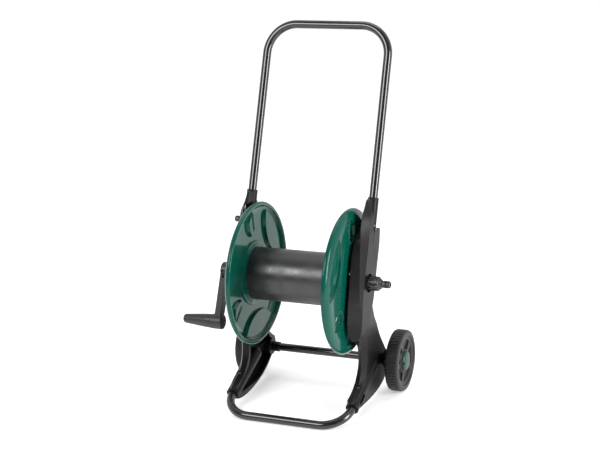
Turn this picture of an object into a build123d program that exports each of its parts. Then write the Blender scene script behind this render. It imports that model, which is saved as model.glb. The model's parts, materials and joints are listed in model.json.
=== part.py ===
from build123d import *
import os
from math import cos, sin, tan, radians

# Garden hose reel cart, millimetres, +Z up, front (foot loop) towards -Y, crank on the -X side.
# While it is drawn, the reel axis lies at y = 0; save() moves every piece so that the origin is
# the centre of the whole cart's outline on the floor.

# ---- driving dimensions -------------------------------------------------------------------
TUBE_R = 10.0                  # handle, foot loop and axle sleeve are 20 mm steel tube
TUBE_WALL = 1.2
TOTAL_HEIGHT = 880.0
REEL_Z = 309.0                 # height of the reel axis

HANDLE_HALF = 154.0            # half spacing of the handle legs
HANDLE_LEAN = 21.7             # degrees back from vertical
HANDLE_Y_AT_REEL = 4.0         # where the leaning handle line crosses the reel's height
HANDLE_BEND = 71.5
HANDLE_END_Z = 400.0           # lower end of the legs, inside the side panels
BUTTON_Z = 425.0

FOOT_HALF = 151.5
FOOT_BAR_Y = -157.4
FOOT_RISE = 20.8               # degrees, legs climbing to the rear
FOOT_BEND = 63.6
FOOT_LEG = 160.0               # from the bar's centreline to the hidden end
SOCKET_MOUTH = 64.0            # distance along the leg where the panel's socket starts
SOCKET_END = 228.0

WHEEL_R = 75.0
WHEEL_Y = 123.5
WHEEL_IN = 179.5               # inner face, from the middle plane
WHEEL_WIDTH = 33.0
ROD_R = 5.0
FIT = 0.05                     # radial running clearance

PANEL_IN = 136.0               # inner edge of the leaf-shaped upper part
PANEL_OUT = 168.0
LEG_IN = 140.0                 # the leg below it: inner edge, front ridge and outer face
LEG_RIDGE = 152.0
LEG_OUT = 161.0
SKIN = 3.0
SLEEVE_R = 13.0                # around the handle tube
SOCKET_R = 15.5                # around the foot loop's legs
BUSH_R = 14.0
CUP_R = 22.0                   # round recess where the reel's shaft comes out
CUP_FLOOR = 160.0
RIB_HEIGHTS = (400, 365, 250, 205, 165, 128, 92)
RIB_EDGE = 150.0               # the ribs stop this far from the middle plane
NOTCH_FLOOR = 158.0
NOTCH_BOTTOM = 419.0
SLEEVE_GAP = 434.0             # the sleeve is open between these heights, for the lock button

BUTTON_R = 5.0
BUTTON_IN = 158.0
CATCH_OUT = 168.6              # right button: flush with the panel
KNOB_OUT = 190.0               # left button: stands out as a knob
KNOB_R = 7.5
BUTTON_TRAVEL = 6.0

FLANGE_R = 171.0
RIM_IN = 111.0                 # inner plane of the rim bead
WEB_IN = 126.0                 # the web lies further out than the rim, like a dish
WEB = 3.0
PETALS = 3
PETAL_AT = 62.0                # degrees from the top of the reel to the first petal
PETAL_HALF = 30.5              # half the angle a petal spans
SCREW_CIRCLE = 40.0            # radius of the four screws in each web
DRUM_R = 62.5
DRUM_WALL = 2.5
SEAM_ANGLE = 35.0              # degrees from straight down towards the front

SHAFT_R = 10.0
WATER_BORE = 5.0
SHAFT_START = 62.0             # inner end of the water shaft
OUTLET_X = 48.0                # where the stored hose's outlet leaves the water line

HUB_OUT = 206.0                # crank arm's outer face at the shaft, from the middle plane
ARM_THICK = 15.0
ARM_SPLAY = 7.5                # the grip end stands this much further out
ARM_LENGTH = 125.0
ARM_SWING = 20.0               # degrees forward of straight down
BOSS_IN = 192.5
BOSS_OUT = 221.0
GRIP_TIP = 297.0
SPINDLE_R = 5.0
NIPPLE_TIP = 218.0


def handle_y(z):
    return HANDLE_Y_AT_REEL + (z - REEL_Z) * tan(radians(HANDLE_LEAN))


HANDLE_TOP_Z = TOTAL_HEIGHT - TUBE_R
Y_FRONT = FOOT_BAR_Y - TUBE_R
Y_REAR = handle_y(HANDLE_TOP_Z) + TUBE_R
ORIGIN_X = (NIPPLE_TIP - GRIP_TIP) / 2
ORIGIN_Y = (Y_FRONT + Y_REAR) / 2
TO_FRAME = Location((-ORIGIN_X, -ORIGIN_Y, 0))

HANDLE_DOWN = Vector(0, -sin(radians(HANDLE_LEAN)), -cos(radians(HANDLE_LEAN)))
FOOT_BACK = Vector(0, cos(radians(FOOT_RISE)), sin(radians(FOOT_RISE)))
FOOT_BAR = Vector(0, FOOT_BAR_Y, TUBE_R)
REEL = Vector(0, 0, REEL_Z)
AXLE = Vector(0, WHEEL_Y, WHEEL_R)
GRIP_AT = REEL + Vector(0, -ARM_LENGTH * sin(radians(ARM_SWING)), -ARM_LENGTH * cos(radians(ARM_SWING)))


# ---- helpers ------------------------------------------------------------------------------
def save(shape, name):
    export_step(shape.moved(TO_FRAME), f"parts/{name}.step")


def x_plane(x, at=REEL):
    """A sketch plane facing +X: local x is +Y, local y is +Z."""
    return Plane(origin=(x, at.Y, at.Z), x_dir=(0, 1, 0), z_dir=(1, 0, 0))


def bar(x0, x1, radius, at=REEL):
    """A round bar along X from x0 to x1."""
    return extrude(x_plane(x0, at) * Circle(radius), amount=x1 - x0)


def turned(profile, at=REEL):
    """A solid of revolution about an X axis; profile points are (x, radius)."""
    face = make_face(Polyline(*profile, close=True))
    plane = Plane(origin=(0, at.Y, at.Z), x_dir=(1, 0, 0), z_dir=(0, -1, 0))
    axis = Axis((0, at.Y, at.Z), (1, 0, 0))
    return revolve(plane * face, axis=axis, revolution_arc=360)


def mirrored(shape):
    return mirror(shape, about=Plane.YZ)


def around(shape, count, at=REEL, start=0.0):
    """Copies of a shape turned evenly about an X axis."""
    axis = Axis((0, at.Y, at.Z), (1, 0, 0))
    return [shape.rotate(axis, start + i * 360 / count) for i in range(count)]


def rod_between(start, end, radius):
    plane = Plane(origin=start, z_dir=end - start)
    return extrude(plane * Circle(radius), amount=(end - start).length)


def outline(x, *edges):
    """A closed face at x from splines and lines given as lists of (y, z) points."""
    curves = [Spline(*points) if len(points) > 2 else Line(*points) for points in edges]
    return Plane(origin=(x, 0, 0), x_dir=(0, 1, 0), z_dir=(1, 0, 0)) * make_face(curves)


def screw(head_centre, direction, head_r, head_h, shank_r, length):
    """A pan-head screw with a cross recess; the head's underside is at head_centre."""
    plane = Plane(origin=head_centre, z_dir=direction)
    head = extrude(plane * Circle(head_r), amount=-head_h)
    head = fillet(head.faces().sort_by(Axis(head_centre, direction))[0].edges(), head_h * 0.45)
    shank = extrude(plane * Circle(shank_r), amount=length)
    top = plane.offset(-head_h)
    cross = extrude(top * (Rectangle(head_r, 1.1) + Rectangle(1.1, head_r)), amount=head_h * 0.6)
    return head + shank - cross


# ---- tubes --------------------------------------------------------------------------------
def u_tube(plane, half, bend, leg):
    """A tube bent to a U: the bar lies along the plane's x, the legs run along its y."""
    path = FilletPolyline((-half, leg), (-half, 0), (half, 0), (half, leg), radius=bend)
    path = plane * path
    start = Plane(origin=path @ 0, z_dir=path % 0)
    return sweep(start * (Circle(TUBE_R) - Circle(TUBE_R - TUBE_WALL)), path=path)


def handle_tube():
    top = Vector(0, handle_y(HANDLE_TOP_Z), HANDLE_TOP_Z)
    plane = Plane(origin=top, x_dir=(1, 0, 0), z_dir=Vector(1, 0, 0).cross(HANDLE_DOWN))
    leg = (HANDLE_TOP_Z - HANDLE_END_Z) / cos(radians(HANDLE_LEAN))
    tube = u_tube(plane, HANDLE_HALF, HANDLE_BEND, leg)
    for side in (-1, 1):
        tube -= button_bore(side, BUTTON_R + 0.3)
    return tube


def foot_tube():
    plane = Plane(origin=FOOT_BAR, x_dir=(1, 0, 0), z_dir=Vector(1, 0, 0).cross(FOOT_BACK))
    tube = u_tube(plane, FOOT_HALF, FOOT_BEND, FOOT_LEG)
    for side in (-1, 1):
        tube -= rod_between(foot_screw_point(side), foot_screw_point(side) + foot_screw_way() * 14, 1.9)
    return tube


# ---- handle lock buttons ------------------------------------------------------------------
def button_bore(side, radius):
    at = Vector(0, handle_y(BUTTON_Z), BUTTON_Z)
    return bar(side * (HANDLE_HALF + 3), side * 200, radius, at)


def catch_button():
    """The right-hand button: a plain spring catch, flush with the panel."""
    stem = bar(BUTTON_IN, CATCH_OUT, BUTTON_R - 0.05, Vector(0, handle_y(BUTTON_Z), BUTTON_Z))
    return fillet(stem.faces().sort_by(Axis.X)[-1].edges(), 2.0)


def knob_button():
    """The left-hand button (drawn on the right): the same catch with a thumb knob outside."""
    at = Vector(0, handle_y(BUTTON_Z), BUTTON_Z)
    knob = bar(PANEL_OUT + BUTTON_TRAVEL + 5, KNOB_OUT, KNOB_R, at)
    knob = fillet(knob.faces().sort_by(Axis.X)[-1].edges(), 3.0)
    return bar(BUTTON_IN, KNOB_OUT - 3, BUTTON_R - 0.05, at) + knob


def button_spring():
    """A V-shaped leaf spring inside the tube that pushes the button out."""
    at = Vector(0, handle_y(BUTTON_Z), BUTTON_Z)
    x_back = HANDLE_HALF - 8.2
    leaf = [(x_back, 0), (x_back, -26), (BUTTON_IN - 0.6, 1.5), (BUTTON_IN - 1.6, 1.5),
            (x_back + 0.9, -22), (x_back + 0.9, 0)]
    plane = Plane(origin=(0, at.Y - 3, at.Z), x_dir=(1, 0, 0), z_dir=(0, -1, 0))
    spring = extrude(plane * make_face(Polyline(*leaf, close=True)), amount=-6)
    return spring.rotate(Axis((0, at.Y, at.Z), (1, 0, 0)), -HANDLE_LEAN)


# ---- side panels --------------------------------------------------------------------------
# Level sections of the leaf-shaped upper part. Each row is the height, then (x, y) of the rear
# inner corner, the front inner edge, the front ridge, the crease and the rear outer corner.
LEAF = (
    (495, (148, 64), (148, 46), (151.5, 43), (155.5, 48.5), (159, 62)),
    (485, (146, 68), (147, 38), (151, 30), (156, 46), (165, 70)),
    (470, (144, 77), (146, 25), (150, 14), (159.5, 37), (168, 73)),
    (455, (141, 80), (144, 14), (149.5, 6.5), (163, 26), (168, 75.5)),
    (440, (138, 83), (141.5, 8), (149.5, -1), (164, 19), (168, 78)),
    (425, (136, 84), (140, -2), (151, -8), (164.5, 14.5), (168, 79)),
    (400, (136, 81), (138, -24), (154, -18), (165, 6), (168, 76)),
    (370, (136, 73), (138, -39), (156, -28), (165, -6), (168, 67)),
    (340, (136, 59), (138, -49), (157.5, -36), (165, -19.5), (168, 54)),
    (309, (136, 46), (138, -58), (158.5, -43), (165, -31), (168, 42)),
    (280, (136, 35), (138, -67), (160, -47.5), (165, -40), (168, 31)),
    (255, (136, 22), (138, -73), (161, -50), (165, -45.5), (168, 18)),
    (240, (136, 12), (138, -76), (161.5, -51.5), (165, -48), (168, 8)),
    (225, (136, 1), (138, -76), (161.5, -54), (165, -50.5), (168, -3)),
    (210, (136, -14), (138, -74), (160, -57), (164, -53.5), (167, -20)),
    (198, (138, -32), (139, -70.5), (157, -59), (162, -56), (165, -38)),
    (190, (139, -50), (141, -66), (152, -61), (156.5, -58.5), (159, -52)),
    (184, (141, -58), (142, -63.5), (148.5, -61.5), (151, -60), (152.5, -57.5)),
)


def leaf_section(row, wall):
    """One level section; with a wall it is the hollow inside, open towards the reel."""
    z, rear_in, front_in, ridge, crease, rear_out = row
    corners = [rear_in, front_in, ridge, crease, rear_out]
    if wall:
        corners = [(rear_in[0] - 20, rear_in[1] - wall), (front_in[0] - 20, front_in[1] + wall),
                   (ridge[0] - 0.3 * wall, ridge[1] + 1.2 * wall),
                   (crease[0] - 1.1 * wall, crease[1] + wall),
                   (rear_out[0] - wall, rear_out[1] - wall)]
    return Pos(0, 0, z) * make_face(Polyline(*corners, close=True))


def leaf_block(wall):
    rows = LEAF[2:-3] if wall else LEAF
    return loft([leaf_section(row, wall) for row in rows])


# The leg's outline seen from the side, (y, z), at its inner edge, front ridge and outer face.
# Each is front, mouth of the foot socket, underside, rear corner, rear and top.
LEG_INNER = (
    ((-60, 236), (-44, 200), (-28, 170), (-18, 150), (-15.5, 128), (-19, 108), (-28, 92), (-45, 74),
     (-68, 61), (-98, 52)),
    ((-98, 52), (-90, 19)),
    ((-90, 19), (-72, 15), (-40, 12.5), (0, 15), (40, 22), (75, 33), (107, 49), (124, 61)),
    ((124, 61), (138, 74), (142, 88), (134, 101)),
    ((134, 101), (118, 112), (103, 127), (86, 152), (75, 168), (62, 192), (51, 208), (41, 229), (26, 262)),
    ((26, 262), (-60, 236)),
)
LEG_MIDDLE = (
    ((-60, 236), (-50, 200), (-40, 175), (-28, 150), (-27.5, 128), (-32.5, 102), (-42, 84), (-58, 71),
     (-80, 61), (-104, 50)),
    ((-104, 50), (-95, 19)),
    ((-95, 19), (-76, 16), (-40, 14.5), (0, 15.5), (40, 20), (75, 27), (107, 38), (126, 51)),
    ((126, 51), (141, 66), (145, 82), (136, 98)),
    ((136, 98), (119, 110), (104, 126), (86, 151), (75, 167), (61, 191), (50, 208), (41, 229), (25, 262)),
    ((25, 262), (-60, 236)),
)
LEG_OUTER = (
    ((-46, 238), (-32, 203), (-21, 177), (-13, 150), (-12, 128), (-16, 102), (-25, 85), (-42, 73),
     (-66, 62), (-92, 47)),
    ((-92, 47), (-84, 26)),
    ((-84, 26), (-62, 24), (-25, 21.5), (3, 20), (39, 20.5), (75, 24), (102, 31), (122, 45)),
    ((122, 45), (136, 62), (140, 80), (130, 94)),
    ((130, 94), (116, 107), (101, 126), (81, 151), (71, 168), (58, 192), (47, 208), (38, 229), (22, 262)),
    ((22, 262), (-46, 238)),
)


# Side outline of the leg's hollow; it is open towards the reel.
LEG_HOLLOW = (
    ((-40, 232), (-27, 200), (-16, 174), (-9, 150), (-8, 128), (-12, 102), (-22, 82), (-40, 69),
     (-64, 58), (-86, 46)),
    ((-86, 46), (-80, 29)),
    ((-80, 29), (-60, 27), (-25, 25), (3, 24), (39, 26), (75, 38), (100, 51), (118, 63)),
    ((118, 63), (130, 74), (135, 86), (127, 95)),
    ((127, 95), (113, 103), (98, 122), (79, 148), (69, 164), (56, 188), (46, 204), (36, 227), (20, 255)),
    ((20, 255), (-40, 232)),
)


def leg_block():
    planes = ((LEG_IN, LEG_INNER), (LEG_RIDGE, LEG_MIDDLE), (LEG_OUT, LEG_OUTER))
    return loft([outline(x, *edges) for x, edges in planes], ruled=True)


def leg_hollow():
    opening = LEG_IN - 5
    return extrude(outline(opening, *LEG_HOLLOW), amount=LEG_OUT - SKIN - opening, dir=(1, 0, 0))


def foot_point(distance, side=1):
    return Vector(side * FOOT_HALF, FOOT_BAR.Y, FOOT_BAR.Z) + FOOT_BACK * distance


def foot_screw_way():
    return Vector(0, sin(radians(FOOT_RISE)), -cos(radians(FOOT_RISE)))


def foot_screw_point(side):
    return foot_point(118, side) - foot_screw_way() * (SOCKET_R + 0.2)


def sleeve_point(z):
    return Vector(HANDLE_HALF, handle_y(z), z)


def notch():
    """The cut in the leaf's rear upper edge where the handle's sleeve lies open."""
    sides = Polyline((47, 500), (47, 482), (45, 465), (42.5, 440), (42, NOTCH_BOTTOM), (110, NOTCH_BOTTOM),
                     (110, 500), close=True)
    return Plane(origin=(NOTCH_FLOOR, 0, 0), x_dir=(0, 1, 0), z_dir=(1, 0, 0)) * make_face(sides)


def side_panel():
    """The right-hand panel: a hollow leaf above, a hollow leg below, open towards the reel."""
    outside = leaf_block(0) + leg_block()
    shell = outside - leaf_block(SKIN) - leg_hollow()

    for z in RIB_HEIGHTS:
        slab = Pos(RIB_EDGE, 0, z) * Box(30, 400, 2.2, align=(Align.MIN, Align.CENTER, Align.CENTER))
        shell += slab & outside

    floor = extrude(notch(), amount=-SKIN) & outside
    shell = shell + floor - extrude(notch(), amount=20)
    shell += rod_between(sleeve_point(492), sleeve_point(SLEEVE_GAP), SLEEVE_R)
    shell += rod_between(sleeve_point(NOTCH_BOTTOM), sleeve_point(394), SLEEVE_R)

    socket = rod_between(foot_point(SOCKET_MOUTH), foot_point(SOCKET_END - SOCKET_R), SOCKET_R)
    shell += socket + Pos(foot_point(SOCKET_END - SOCKET_R)) * Sphere(SOCKET_R)

    shell += bar(PANEL_IN + 1, PANEL_OUT - 3, CUP_R + SKIN)
    shell += bar(LEG_IN, WHEEL_IN - 1.2, 14, AXLE) + bar(LEG_IN, LEG_OUT + 2, 21, AXLE)
    shell += bar(121, LEG_IN + 3, 12.5, AXLE)

    shell -= rod_between(sleeve_point(494), sleeve_point(399), TUBE_R + FIT)
    shell -= rod_between(foot_point(SOCKET_MOUTH - 1), foot_point(FOOT_LEG + 1), TUBE_R + FIT)
    shell -= bar(CUP_FLOOR, PANEL_OUT + 1, CUP_R)
    shell -= bar(PANEL_IN, CUP_FLOOR + 1, BUSH_R + FIT)
    shell -= bar(120, 151, TUBE_R + FIT, AXLE)
    shell -= bar(150, WHEEL_IN, ROD_R + FIT, AXLE)
    shell -= button_bore(1, BUTTON_R + 0.3)

    window_plane = Plane(origin=foot_point(98) + Vector(6, 0, 0), x_dir=FOOT_BACK, z_dir=(1, 0, 0))
    shell -= extrude(window_plane * SlotOverall(36, 12), amount=20)
    shell -= rod_between(foot_screw_point(1) - foot_screw_way() * 30, foot_screw_point(1), 4.6)
    shell -= rod_between(foot_screw_point(1) - foot_screw_way() * 1, foot_point(118), 1.9)
    return shell


def bearing_bush():
    """A flanged plastic bush pressed into the panel; the reel shaft turns in it."""
    collar = [(PANEL_IN - 2, SHAFT_R + FIT), (PANEL_IN - 2, 19), (PANEL_IN, 19), (PANEL_IN, BUSH_R),
              (CUP_FLOOR + 1, BUSH_R), (CUP_FLOOR + 1, SHAFT_R + FIT)]
    return turned(collar)


# ---- axle and wheels ----------------------------------------------------------------------
def wheel():
    """A moulded wheel with a ribbed tread, a dished outer face and a back with radial ribs."""
    x0, x1, r = WHEEL_IN, WHEEL_IN + WHEEL_WIDTH, WHEEL_R
    body = [(x0, ROD_R + FIT), (x0, 16), (x0 + 13, 18), (x0 + 13, 58), (x0 + 2, 60), (x0, 62),
            (x0, r - 6), (x0 + 1.8, r - 1.8), (x0 + 6, r), (x1 - 6, r), (x1 - 1.8, r - 1.8), (x1, r - 6),
            (x1, 62), (x1 - 3, 60), (x1 - 4.5, 52), (x1 - 9, 50), (x1 - 11, 32), (x1 - 4, 27),
            (x1 - 4, ROD_R + 9), (x1 - 9, ROD_R + 9), (x1 - 9, ROD_R + FIT)]
    solid = turned(body, AXLE)
    groove = Pos(x0 + WHEEL_WIDTH / 2, AXLE.Y, AXLE.Z + r) * Box(WHEEL_WIDTH + 2, 3.2, 3.2)
    solid -= around(groove, 54, AXLE)
    spoke_face = make_face(Polyline((-4, 28), (4, 28), (9, 56), (-9, 56), close=True))
    spoke = extrude(x_plane(x1 - 12, AXLE) * spoke_face, amount=6.5)
    solid += around(spoke, 5, AXLE, 18)
    back_rib = Pos(x0 + 8, AXLE.Y, AXLE.Z + 38) * Box(13, 2.5, 46)
    solid += around(back_rib, 8, AXLE)
    return solid


def hub_cap():
    """A domed cap that snaps into the wheel's hub."""
    x1 = WHEEL_IN + WHEEL_WIDTH
    dome = [(x1 - 3.9, 0), (x1 - 3.9, 24.5), (x1 - 1.5, 24.3), (x1 + 1.2, 21.5), (x1 + 2.6, 16),
            (x1 + 3.4, 8), (x1 + 3.6, 0)]
    cap = turned(dome, AXLE)
    clip = bar(x1 - 7.5, x1 - 3.5, ROD_R + 8.8, AXLE) - bar(x1 - 8, x1 - 3.6, ROD_R + 7, AXLE)
    slot = Pos(x1, AXLE.Y - 21.5, AXLE.Z) * Box(9.0, 5.5, 5.0)
    return cap + clip - slot


def axle_rod():
    end = WHEEL_IN + WHEEL_WIDTH - 5.5
    rod = bar(-end, end, ROD_R, AXLE)
    return chamfer(rod.edges(), 0.8)


def retainer():
    """A push-on starlock washer that keeps the wheel on the rod."""
    x = WHEEL_IN + WHEEL_WIDTH - 8.8
    washer = [(x, ROD_R), (x, ROD_R + 5), (x + 0.8, ROD_R + 5), (x + 2.2, ROD_R + 0.4), (x + 2.2, ROD_R)]
    return turned(washer, AXLE)


# ---- reel ---------------------------------------------------------------------------------
def petal_face(margin):
    """A petal at the top of the reel, seen along X; the margin draws it smaller."""
    rim = FLANGE_R - 14 - margin
    half = radians(PETAL_HALF - margin * 0.5)
    ends = (rim * sin(half), rim * cos(half))
    outer = ThreePointArc((-ends[0], ends[1]), (0, rim), (ends[0], ends[1]))
    inner = ThreePointArc((ends[0], ends[1]), (0, 95 + margin), (-ends[0], ends[1]))
    return make_face([outer, inner])


def gusset_face(margin):
    """The kite-shaped gusset between two petals, at the top of the reel."""
    left = Polyline((0, 156 - margin), (-24 + margin, 132), (-22 + margin, 108), (-12 + margin, 92 + margin))
    right = Polyline((-12 + margin, 92 + margin), (12 - margin, 92 + margin), (22 - margin, 108),
                     (24 - margin, 132), (0, 156 - margin))
    return make_face([left, right])


def flange_profile():
    """Half section of the flange: rounded rim, bowl-shaped wall, flat web, drum seat and hub."""
    out = WEB_IN + WEB
    bowl = Spline((RIM_IN, FLANGE_R - 3), (RIM_IN + 2, FLANGE_R - 0.6), (RIM_IN + 6, FLANGE_R),
                  (RIM_IN + 11, FLANGE_R - 3), (RIM_IN + 15, FLANGE_R - 10),
                  (out - 0.6, FLANGE_R - 21), (out, FLANGE_R - 34))
    hub = Polyline((out, FLANGE_R - 34), (out, 26), (out + 3, 24), (out + 3, SHAFT_R),
                   (WEB_IN - 20, SHAFT_R), (WEB_IN - 20, 16), (WEB_IN, 18), (WEB_IN, DRUM_R - DRUM_WALL - 2.2),
                   (WEB_IN - 14, DRUM_R - DRUM_WALL - 2.0), (WEB_IN - 14, DRUM_R - DRUM_WALL - 0.1),
                   (WEB_IN, DRUM_R - DRUM_WALL - 0.1), (WEB_IN, DRUM_R + 0.2), (WEB_IN - 8, DRUM_R + 0.4),
                   (WEB_IN - 8, DRUM_R + 4), (WEB_IN - 5, DRUM_R + 9), (WEB_IN - 4, DRUM_R + 14),
                   (WEB_IN, DRUM_R + 15), (WEB_IN, FLANGE_R - 34))
    inside = Spline((WEB_IN, FLANGE_R - 34), (WEB_IN - 1, FLANGE_R - 24), (WEB_IN - 5, FLANGE_R - 15),
                    (WEB_IN - 10, FLANGE_R - 10))
    bead = Polyline((WEB_IN - 10, FLANGE_R - 10), (RIM_IN + 1, FLANGE_R - 8.5), (RIM_IN, FLANGE_R - 7.5),
                    (RIM_IN, FLANGE_R - 3))
    return make_face([bowl, hub, inside, bead])


def flange():
    """The right-hand flange: a dish with three petals and three slotted gussets pressed into it."""
    section_plane = Plane(origin=REEL, x_dir=(1, 0, 0), z_dir=(0, -1, 0))
    solid = revolve(section_plane * flange_profile(), axis=Axis(REEL, (1, 0, 0)), revolution_arc=360)

    def pressed(face, x, height):
        plane = Plane(origin=REEL + Vector(x, 0, 0), x_dir=(0, -1, 0), z_dir=(-1, 0, 0))
        return extrude(plane * face, amount=height, taper=22)

    between = PETAL_AT + 180 / PETALS
    solid += around(pressed(petal_face(0), WEB_IN + 1, 8), PETALS, start=PETAL_AT)
    solid += around(pressed(gusset_face(0), WEB_IN + 1, 8), PETALS, start=between)
    solid -= around(pressed(petal_face(2.5), WEB_IN + WEB + 0.1, 7), PETALS, start=PETAL_AT)
    solid -= around(pressed(gusset_face(3), WEB_IN + WEB + 0.1, 7), PETALS, start=between)
    slot = Pos(0, 126) * SlotOverall(46, 9, rotation=96)
    solid -= around(extrude(x_plane(WEB_IN - 14) * slot, amount=20), PETALS, start=between)
    screw_hole = bar(WEB_IN - 1, WEB_IN + WEB + 1, 1.9, REEL + Vector(0, 0, SCREW_CIRCLE))
    return solid - around(screw_hole, 4, start=45)


def drum_shell(lower):
    """Half of the drum; the lower half has a sunk band beside the seam."""
    length = WEB_IN - 0.05
    tube = bar(-length, length, DRUM_R) - bar(-length, length, DRUM_R - DRUM_WALL)
    keep = Pos(0, 0, REEL_Z - 100) * Box(2 * length, 400, 200 - 0.4)
    if not lower:
        keep = Pos(0, 0, REEL_Z + 100) * Box(2 * length, 400, 200 - 0.4)
    shell = tube & keep
    if lower:
        band = Pos(0, -DRUM_R, REEL_Z - 7) * Box(2 * length - 24, 3.2, 13)
        shell -= band
        outlet = Pos(OUTLET_X, 0, REEL_Z - DRUM_R) * Box(34, 34, 20)
        shell -= outlet
    lip = bar(-length + 20, length - 20, DRUM_R - DRUM_WALL) - bar(-length, length, DRUM_R - 2 * DRUM_WALL)
    lip_zone = Pos(0, 0, REEL_Z - 4) * Box(2 * length, 400, 12)
    if not lower:
        shell += lip & lip_zone
    return shell.rotate(Axis((0, 0, REEL_Z), (1, 0, 0)), 90 - SEAM_ANGLE)


def crank_shaft():
    """A stub shaft bolted to the left flange; its square end drives the crank arm."""
    flange_disc = bar(-(WEB_IN - 20.2), -(WEB_IN - 24), 24)
    journal = bar(-(WEB_IN - 24), -(PANEL_OUT + 2), SHAFT_R)
    square = extrude(x_plane(-(HUB_OUT - 1)) * Rectangle(13, 13), amount=HUB_OUT - PANEL_OUT)
    thread_hole = bar(-HUB_OUT, -(HUB_OUT - 26), 2.4)
    return flange_disc + journal + square - thread_hole


def water_shaft():
    """The hollow shaft that carries water from the inlet into the drum."""
    pipe = [(SHAFT_START, WATER_BORE), (SHAFT_START, 12), (WEB_IN - 22.2, 12), (WEB_IN - 22.2, 22),
            (WEB_IN - 20.2, 22), (WEB_IN - 20.2, SHAFT_R), (178, SHAFT_R), (180, SHAFT_R - 1.5), (180, WATER_BORE)]
    shaft = turned(pipe)
    groove = bar(171.5, 173.9, SHAFT_R + 1) - bar(171, 174, SHAFT_R - 1.6)
    return shaft - groove


def shaft_seal():
    ring = Torus(SHAFT_R - 0.82, 0.74)
    return Location((172.7, 0, REEL_Z), (0, 90, 0)) * ring


def outlet_elbow():
    """A right-angle fitting inside the drum with a threaded outlet for the stored hose."""
    way = Vector(0, cos(radians(SEAM_ANGLE)), -sin(radians(SEAM_ANGLE)))
    mouth = Vector(OUTLET_X, 0, REEL_Z)
    cup = bar(OUTLET_X - 13, SHAFT_START - 0.2, 13)
    branch = rod_between(mouth, mouth + way * 44, 11)
    nozzle = rod_between(mouth + way * 44, mouth + way * (DRUM_R - 3), 8.7)
    body = cup + branch + nozzle
    body -= rod_between(mouth, mouth + way * DRUM_R, WATER_BORE)
    return body - bar(mouth.X - 1, SHAFT_START, WATER_BORE)


# ---- crank --------------------------------------------------------------------------------
def crank_arm():
    """A box-section arm with a round hub at the shaft and a round boss for the grip."""
    down = (GRIP_AT - REEL).normalized()
    top_at = REEL - Vector(HUB_OUT - ARM_THICK / 2, 0, 0)
    foot_at = GRIP_AT - Vector(HUB_OUT + ARM_SPLAY - ARM_THICK / 2, 0, 0)
    top = Plane(origin=top_at, x_dir=(1, 0, 0), z_dir=down)
    foot = Plane(origin=foot_at, x_dir=(1, 0, 0), z_dir=down)
    blade = loft([top * Rectangle(ARM_THICK, 29), foot * Rectangle(ARM_THICK, 23)], ruled=True)
    hub = bar(-HUB_OUT, -(PANEL_OUT + 3), 20)
    hub = fillet(hub.faces().sort_by(Axis.X)[0].edges(), 3)
    boss = bar(-BOSS_OUT, -BOSS_IN, 18, GRIP_AT)
    boss = fillet(boss.faces().sort_by(Axis.X)[-1].edges(), 3)
    arm = hub + blade + boss
    arm -= extrude(x_plane(-(HUB_OUT - 0.9)) * Rectangle(13.1, 13.1), amount=60)
    arm -= bar(-HUB_OUT - 1, -HUB_OUT + 2, 2.6)
    arm -= bar(-HUB_OUT - 1, -HUB_OUT + 0.05, 6.2)
    arm -= bar(-BOSS_OUT - 1, -HUB_OUT + 3, SPINDLE_R, GRIP_AT)
    for turn in (-12, 10, 30):
        slot = Pos(-(HUB_OUT - 7), -20, REEL_Z) * Box(6, 8, 4.5)
        arm -= slot.rotate(Axis(REEL, (1, 0, 0)), turn)
    return arm


def crank_screw():
    return screw(Vector(-HUB_OUT, 0, REEL_Z), Vector(1, 0, 0), 6.0, 3.4, 2.3, 24)


def grip_spindle():
    """A pin pressed into the arm's boss; the barbed head keeps the grip on."""
    pin = bar(-(GRIP_TIP - 16), -(HUB_OUT - 3), SPINDLE_R, GRIP_AT)
    return pin + bar(-(GRIP_TIP - 11), -(GRIP_TIP - 16), SPINDLE_R + 1.6, GRIP_AT)


def crank_grip():
    x0, x1 = -(BOSS_OUT + 0.4), -GRIP_TIP
    bore = SPINDLE_R + FIT
    body = [(x0, bore), (x0, 16.2), (x0 - 1.2, 17.0), (x0 - 14, 16.6), (x0 - 36, 14.6), (x1 + 16, 12.2),
            (x1 + 5, 11.2), (x1 + 1.4, 9.4), (x1, 6), (x1, 0), (x1 + 6, 0), (x1 + 6, bore + 2),
            (x1 + 16.4, bore + 2), (x1 + 16.4, bore)]
    return turned(body, GRIP_AT)


# ---- water inlet --------------------------------------------------------------------------
def inlet_nipple():
    """Quick-connect nipple with a cup that turns on the end of the water shaft."""
    profile = [(163.2, SHAFT_R + FIT), (163.2, 13), (183, 13), (186, 9.5), (199.5, 7), (201, 7),
               (202, 8.7), (206.6, 8.7), (207.3, 7.0), (209.9, 7.0), (210.6, 8.7), (214, 8.7),
               (217, 7.8), (NIPPLE_TIP, 6.8),
               (NIPPLE_TIP, 4.5), (181, 4.5), (181, SHAFT_R + FIT)]
    return turned(profile)


def nipple_seal():
    ring = Torus(7.85, 0.83)
    return Location((208.6, 0, REEL_Z), (0, 90, 0)) * ring


def inlet_nut():
    """Fluted collar that holds the nipple; its nose tapers towards the quick-connect end."""
    profile = [(163, 13.05), (163, 16), (164, 17), (189.8, 17), (191.2, 16), (192.5, 14.2), (198.2, 10),
               (198.2, 7.6), (186, 9.9), (183.2, 13.05)]
    nut = turned(profile)
    flute = bar(164.5, 194, 2.0, REEL + Vector(0, 0, 18.0))
    return nut - around(flute, 16)


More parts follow.
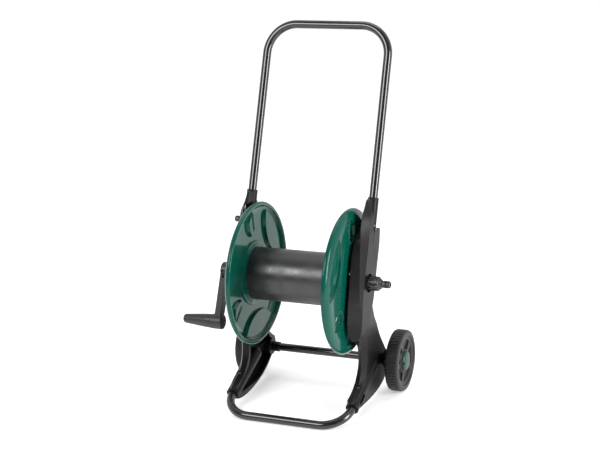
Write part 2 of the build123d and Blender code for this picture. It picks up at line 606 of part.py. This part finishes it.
# ---- fasteners ----------------------------------------------------------------------------
def flange_screws(side):
    """Four screws through each flange's web into the drum shells' end bosses."""
    screws = []
    for angle in (45, 135, 225, 315):
        place = Vector(0, SCREW_CIRCLE * cos(radians(angle)), SCREW_CIRCLE * sin(radians(angle)))
        head = REEL + place + Vector(side * (WEB_IN + WEB), 0, 0)
        screws.append(screw(head, Vector(-side, 0, 0), 4.0, 2.4, 1.8, 2.9))
    return screws


def foot_screws():
    """The screws that pin the foot loop in the panels' sockets."""
    return [screw(foot_screw_point(side), foot_screw_way(), 4.0, 2.6, 1.8, 12) for side in (-1, 1)]


# ---- write every piece --------------------------------------------------------------------
def main():
    os.makedirs("parts", exist_ok=True)
    panel = side_panel()
    save(panel, "side_panel_right")
    save(mirrored(panel), "side_panel_left")
    save(handle_tube(), "handle_tube")
    save(foot_tube(), "foot_tube")
    bush = bearing_bush()
    save(bush, "bearing_bush_right")
    save(mirrored(bush), "bearing_bush_left")
    sleeve = bar(-149.8, 149.8, TUBE_R, AXLE) - bar(-149.8, 149.8, TUBE_R - TUBE_WALL, AXLE)
    save(sleeve, "axle_tube")
    save(axle_rod(), "axle_rod")

    save(catch_button(), "lock_button_right")
    save(mirrored(knob_button()), "lock_button_left")
    spring = button_spring()
    road_wheel = wheel()
    cap = hub_cap()
    washer = retainer()
    disc = flange()
    for name, piece in (("button_spring", spring), ("wheel", road_wheel),
                        ("hub_cap", cap), ("wheel_retainer", washer), ("flange", disc)):
        save(piece, f"{name}_right")
        save(mirrored(piece), f"{name}_left")

    save(drum_shell(False), "drum_shell_upper")
    save(drum_shell(True), "drum_shell_lower")
    save(crank_shaft(), "crank_shaft")
    save(water_shaft(), "water_shaft")
    save(shaft_seal(), "shaft_seal")
    save(outlet_elbow(), "outlet_elbow")
    save(crank_arm(), "crank_arm")
    save(crank_screw(), "crank_screw")
    save(grip_spindle(), "grip_spindle")
    save(crank_grip(), "crank_grip")
    save(inlet_nipple(), "inlet_nipple")
    save(nipple_seal(), "nipple_seal")
    save(inlet_nut(), "inlet_nut")
    save(Compound(children=flange_screws(1) + flange_screws(-1)), "flange_screws")
    save(Compound(children=foot_screws()), "foot_screws")


if __name__ == "__main__":
    main()
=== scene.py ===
import json
import math

import bpy
from mathutils import Matrix, Vector

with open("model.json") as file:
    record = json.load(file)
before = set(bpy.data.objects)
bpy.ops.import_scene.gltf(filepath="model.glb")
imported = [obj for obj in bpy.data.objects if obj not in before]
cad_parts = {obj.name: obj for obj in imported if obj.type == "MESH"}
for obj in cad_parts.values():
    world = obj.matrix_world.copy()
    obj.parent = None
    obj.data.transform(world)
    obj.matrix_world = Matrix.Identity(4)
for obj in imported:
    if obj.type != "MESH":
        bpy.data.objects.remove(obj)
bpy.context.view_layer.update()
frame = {"nodes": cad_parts, "record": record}
nodes = frame["nodes"]

# ---- the view -------------------------------------------------------------------------------
VIEW_AZIMUTH = math.radians(22.76)
VIEW_ELEVATION = math.radians(16.04)
VIEW_ROLL = math.radians(-2.24)
VIEW_DISTANCE = 3.3034
VIEW_LENS_MM = 85.08
AIM = Vector((0.03805, -0.03492, 0.43630))

FLOOR_SIZE = 40.0
FLOOR_GLOW = 0.38                 # the paper is lit from below as well

# ---- the light tent: white all round, darker towards this direction ---------------------------
DARK_SIDE = (0.05, -0.97, 0.24)
TENT_WHITE = 0.9
TENT_DARK = 0.15
DARK_FROM = 0.0                   # cosine to DARK_SIDE at which the fade starts
DARK_FULL = 0.80

# name, place and size in metres, power in watts
SOFT_BOXES = (("key", (-1.15, -2.60, 2.30), (1.8, 1.4), 72),
              ("side", (2.9, -0.5, 1.2), (0.8, 1.8), 75),
              ("top", (0.0, 0.8, 3.2), (1.6, 1.6), 14))


# ---- small node-tree helpers ----------------------------------------------------------------
class Shader:
    """A material under construction: a Principled shader plus helpers that add and link nodes."""

    def __init__(self, name, color, roughness, **sockets):
        self.mat = bpy.data.materials.new(name)
        self.mat.use_nodes = True
        self.tree = self.mat.node_tree
        self.bsdf = self.tree.nodes["Principled BSDF"]
        self.set("Base Color", (*color, 1.0))
        self.set("Roughness", roughness)
        for socket, value in sockets.items():
            self.set(socket.replace("_", " "), value)
        self.coords = self.add("ShaderNodeTexCoord").outputs["Object"]
        self.mat.diffuse_color = (*color, 1.0)

    def set(self, socket, value):
        self.bsdf.inputs[socket].default_value = value

    def add(self, kind, **values):
        node = self.tree.nodes.new(kind)
        for key, value in values.items():
            setattr(node, key, value)
        return node

    def link(self, output, target):
        self.tree.links.new(output, target)

    def noise(self, scale, detail=2.0, roughness=0.5, stretch=None, distortion=0.0):
        """Noise in object space; scale is in features per metre, stretch scales each axis."""
        node = self.add("ShaderNodeTexNoise")
        node.inputs["Scale"].default_value = scale
        node.inputs["Detail"].default_value = detail
        node.inputs["Roughness"].default_value = roughness
        node.inputs["Distortion"].default_value = distortion
        if stretch:
            mapping = self.add("ShaderNodeMapping")
            mapping.inputs["Scale"].default_value = stretch
            self.link(self.coords, mapping.inputs["Vector"])
            self.link(mapping.outputs["Vector"], node.inputs["Vector"])
        else:
            self.link(self.coords, node.inputs["Vector"])
        return node.outputs["Fac"]

    def ramp(self, value, low, high, out_low=0.0, out_high=1.0):
        """value mapped from low..high to out_low..out_high, clamped."""
        node = self.add("ShaderNodeMapRange")
        node.inputs["From Min"].default_value = low
        node.inputs["From Max"].default_value = high
        node.inputs["To Min"].default_value = out_low
        node.inputs["To Max"].default_value = out_high
        self.link(value, node.inputs["Value"])
        return node.outputs["Result"]

    def math(self, operation, a, b):
        node = self.add("ShaderNodeMath", operation=operation)
        for socket, value in zip(node.inputs, (a, b)):
            if isinstance(value, (int, float)):
                socket.default_value = value
            else:
                self.link(value, socket)
        return node.outputs["Value"]

    def mix(self, factor, a, b):
        """Colours a and b (or sockets) mixed by factor."""
        node = self.add("ShaderNodeMix", data_type="RGBA")
        self.link(factor, node.inputs[0])
        for socket, value in ((node.inputs[6], a), (node.inputs[7], b)):
            if isinstance(value, tuple):
                socket.default_value = (*value, 1.0)
            else:
                self.link(value, socket)
        return node.outputs[2]

    def bump(self, height, distance, strength=1.0, normal=None):
        node = self.add("ShaderNodeBump")
        node.inputs["Distance"].default_value = distance
        node.inputs["Strength"].default_value = strength
        self.link(height, node.inputs["Height"])
        if normal:
            self.link(normal, node.inputs["Normal"])
        return node.outputs["Normal"]

    def soft_edges(self, radius):
        """Normals rounded over an edge of this radius, as a mould's edge is."""
        node = self.add("ShaderNodeBevel", samples=4)
        node.inputs["Radius"].default_value = radius
        return node.outputs["Normal"]

    def edge_mask(self, rounded):
        """1 on an edge, 0 on a flat face: how far the rounded normal turns from the real one."""
        geometry = self.add("ShaderNodeNewGeometry")
        dot = self.add("ShaderNodeVectorMath", operation="DOT_PRODUCT")
        self.link(rounded, dot.inputs[0])
        self.link(geometry.outputs["Normal"], dot.inputs[1])
        return self.ramp(dot.outputs["Value"], 0.99, 0.80)

    def finish(self, color=None, roughness=None, normal=None):
        for socket, output in (("Base Color", color), ("Roughness", roughness), ("Normal", normal)):
            if output is not None:
                self.link(output, self.bsdf.inputs[socket])
        return self.mat


# ---- materials ------------------------------------------------------------------------------
def moulded_plastic(name, color, worn, roughness, grain_scale, grain_depth,
                    edge=0.0008, wave=0.0, mottle=0.04, **sockets):
    """Moulded plastic: slow colour drift, faint flow marks, spark grain, paler rubbed edges."""
    s = Shader(name, color, roughness, **sockets)
    rounded = s.soft_edges(edge)
    edges = s.edge_mask(rounded)
    drift = s.noise(9.0, 3.0, 0.55)
    flow = s.noise(26.0, 4.0, 0.6, stretch=(1.0, 1.0, 0.35), distortion=0.8)
    scuff = s.ramp(s.noise(75.0, 5.0, 0.7, stretch=(1.0, 0.25, 1.0)), 0.62, 0.78)
    patchy = s.ramp(s.noise(140.0, 3.0, 0.6), 0.35, 0.65, 0.25, 1.0)
    dark = tuple(c * 0.88 for c in color)
    base = s.mix(s.ramp(drift, 0.3, 0.7), dark, color)
    rub = s.math("MULTIPLY", edges, patchy)
    wear = s.math("MAXIMUM", s.math("MULTIPLY", rub, 0.55), s.math("MULTIPLY", scuff, 0.16))
    base = s.mix(wear, base, worn)
    rough = s.math("ADD", s.ramp(flow, 0.3, 0.7, roughness - mottle, roughness + mottle),
                   s.math("MULTIPLY", scuff, 0.12))
    normal = rounded
    if wave:
        normal = s.bump(s.noise(16.0, 2.0, 0.45), wave, 1.0, normal)
    if grain_depth:
        normal = s.bump(s.noise(grain_scale, 2.0, 0.5), grain_depth, 1.0, normal)
    return s.finish(base, rough, normal)


def enamel(name, color):
    """Gloss stove enamel on steel tube: slight orange peel, fine dust and hairline scratches."""
    s = Shader(name, color, 0.17, Coat_Weight=0.35, Coat_Roughness=0.08, Specular_IOR_Level=0.55)
    peel = s.noise(420.0, 2.0, 0.4)
    hair = s.ramp(s.noise(900.0, 3.0, 0.6, stretch=(0.06, 0.06, 1.0)), 0.66, 0.74)
    dust = s.ramp(s.noise(60.0, 6.0, 0.75), 0.55, 0.8)
    base = s.mix(s.math("MULTIPLY", dust, 0.25), color, (0.045, 0.043, 0.040))
    base = s.mix(s.math("MULTIPLY", hair, 0.12), base, (0.06, 0.06, 0.06))
    cloud = s.ramp(s.noise(35.0, 4.0, 0.6), 0.3, 0.7, 0.12, 0.22)
    rough = s.math("ADD", cloud, s.math("MULTIPLY", hair, 0.05))
    return s.finish(base, rough, s.bump(peel, 0.000008, 0.3))


def zinc_steel(name):
    """Zinc-plated steel with a fine spangle and dull spots."""
    s = Shader(name, (0.50, 0.50, 0.51), 0.32, Metallic=1.0)
    spangle = s.noise(500.0, 3.0, 0.6)
    spots = s.ramp(s.noise(120.0, 4.0, 0.7), 0.5, 0.75)
    base = s.mix(spots, (0.56, 0.56, 0.57), (0.36, 0.35, 0.33))
    rough = s.math("ADD", s.ramp(spangle, 0.3, 0.7, 0.25, 0.38), s.math("MULTIPLY", spots, 0.2))
    return s.finish(base, rough, s.bump(spangle, 0.00002, 0.5))


def rubber(name):
    """Black rubber with a faint grey bloom."""
    s = Shader(name, (0.018, 0.018, 0.018), 0.55)
    bloom = s.ramp(s.noise(220.0, 4.0, 0.6), 0.45, 0.75)
    base = s.mix(bloom, (0.015, 0.015, 0.015), (0.032, 0.032, 0.034))
    return s.finish(base, s.ramp(bloom, 0.0, 1.0, 0.45, 0.65), s.bump(s.noise(1500.0), 0.00002, 0.6))


PALE_GREY = (0.12, 0.12, 0.125)
finishes = {
    "tube_paint": enamel("tube_enamel", (0.006, 0.006, 0.0065)),
    "panel_plastic": moulded_plastic("panel_plastic", (0.0052, 0.0052, 0.0047), PALE_GREY, 0.40,
                                     2200.0, 0.00003, edge=0.0016, Specular_IOR_Level=0.20),
    "reel_green": moulded_plastic("reel_green", (0.0, 0.075, 0.052), (0.04, 0.24, 0.19), 0.11,
                                  900.0, 0.0, edge=0.0020, wave=0.0004, Specular_IOR_Level=0.24),
    "drum_plastic": moulded_plastic("drum_plastic", (0.014, 0.0145, 0.0155), PALE_GREY, 0.37,
                                    1900.0, 0.00003, mottle=0.12, Specular_IOR_Level=0.75),
    "wheel_plastic": moulded_plastic("wheel_plastic", (0.015, 0.015, 0.0145), (0.16, 0.155, 0.15), 0.45,
                                     1800.0, 0.00004, edge=0.0010, Specular_IOR_Level=0.32),
    "cap_green": moulded_plastic("cap_green", (0.009, 0.042, 0.035), (0.12, 0.22, 0.20), 0.36,
                                 1500.0, 0.00002, Specular_IOR_Level=0.3),
    "fitting_plastic": moulded_plastic("fitting_plastic", (0.014, 0.014, 0.015), PALE_GREY, 0.22,
                                       2000.0, 0.00002, edge=0.0004, Specular_IOR_Level=0.6),
    "grip_plastic": moulded_plastic("grip_plastic", (0.020, 0.020, 0.022), PALE_GREY, 0.40,
                                    2200.0, 0.00003, edge=0.0012),
    "bright_steel": zinc_steel("bright_steel"),
    "seal_rubber": rubber("seal_rubber"),
}
for part in frame["record"]["subparts"]:
    piece = nodes[part["node"]]
    piece.data.materials.clear()
    piece.data.materials.append(finishes[part["material_slot"]])


# ---- floor, light and camera ----------------------------------------------------------------
def make_floor():
    mesh = bpy.data.meshes.new("floor")
    half = FLOOR_SIZE / 2
    corners = [(-half, -half, 0), (half, -half, 0), (half, half, 0), (-half, half, 0)]
    mesh.from_pydata(corners, [], [(0, 1, 2, 3)])
    floor = bpy.data.objects.new("floor", mesh)
    bpy.context.scene.collection.objects.link(floor)
    s = Shader("floor_paper", (0.93, 0.93, 0.93), 0.75, Emission_Color=(1.0, 1.0, 1.0, 1.0),
               Emission_Strength=FLOOR_GLOW)
    tone = s.ramp(s.noise(3.0, 3.0), 0.3, 0.7)
    s.finish(s.mix(tone, (0.92, 0.92, 0.92), (0.94, 0.94, 0.94)))
    mesh.materials.append(s.mat)


def soft_box(name, place, size, power):
    """A rectangular area light turned towards the middle of the view."""
    light = bpy.data.lights.new(name, "AREA")
    light.shape = "RECTANGLE"
    light.size, light.size_y = size
    light.energy = power
    box = bpy.data.objects.new(name, light)
    box.location = place
    box.rotation_euler = (AIM - Vector(place)).to_track_quat("-Z", "Y").to_euler()
    bpy.context.scene.collection.objects.link(box)


def make_light():
    """A white tent that darkens on its open side, and the soft boxes."""
    world = bpy.data.worlds.new("studio")
    bpy.context.scene.world = world
    world.use_nodes = True
    tree = world.node_tree
    background = tree.nodes["Background"]
    coords = tree.nodes.new("ShaderNodeTexCoord")
    dot = tree.nodes.new("ShaderNodeVectorMath")
    dot.operation = "DOT_PRODUCT"
    dot.inputs[1].default_value = DARK_SIDE
    tree.links.new(coords.outputs["Generated"], dot.inputs[0])
    fade = tree.nodes.new("ShaderNodeMapRange")
    fade.interpolation_type = "SMOOTHSTEP"
    fade.inputs["From Min"].default_value = DARK_FROM
    fade.inputs["From Max"].default_value = DARK_FULL
    fade.inputs["To Min"].default_value = TENT_WHITE
    fade.inputs["To Max"].default_value = TENT_DARK
    tree.links.new(dot.outputs["Value"], fade.inputs["Value"])
    tree.links.new(fade.outputs["Result"], background.inputs["Strength"])
    background.inputs["Color"].default_value = (1.0, 1.0, 1.0, 1.0)
    for name, place, size, power in SOFT_BOXES:
        soft_box(name, place, size, power)


def make_camera():
    back = Vector((math.sin(VIEW_AZIMUTH) * math.cos(VIEW_ELEVATION),
                   -math.cos(VIEW_AZIMUTH) * math.cos(VIEW_ELEVATION), math.sin(VIEW_ELEVATION)))
    right = Vector((math.cos(VIEW_AZIMUTH), math.sin(VIEW_AZIMUTH), 0))
    up = back.cross(right)
    tilt = Matrix.Rotation(VIEW_ROLL, 3, back)
    right, up = tilt @ right, tilt @ up
    camera = bpy.data.objects.new("camera", bpy.data.cameras.new("camera"))
    camera.data.lens = VIEW_LENS_MM
    camera.data.sensor_width = 36.0
    rotation = Matrix((right, up, back)).transposed().to_4x4()
    camera.matrix_world = Matrix.Translation(AIM + back * VIEW_DISTANCE) @ rotation
    bpy.context.scene.collection.objects.link(camera)
    bpy.context.scene.camera = camera


make_floor()
make_light()
make_camera()
bpy.context.scene.view_settings.view_transform = "Standard"
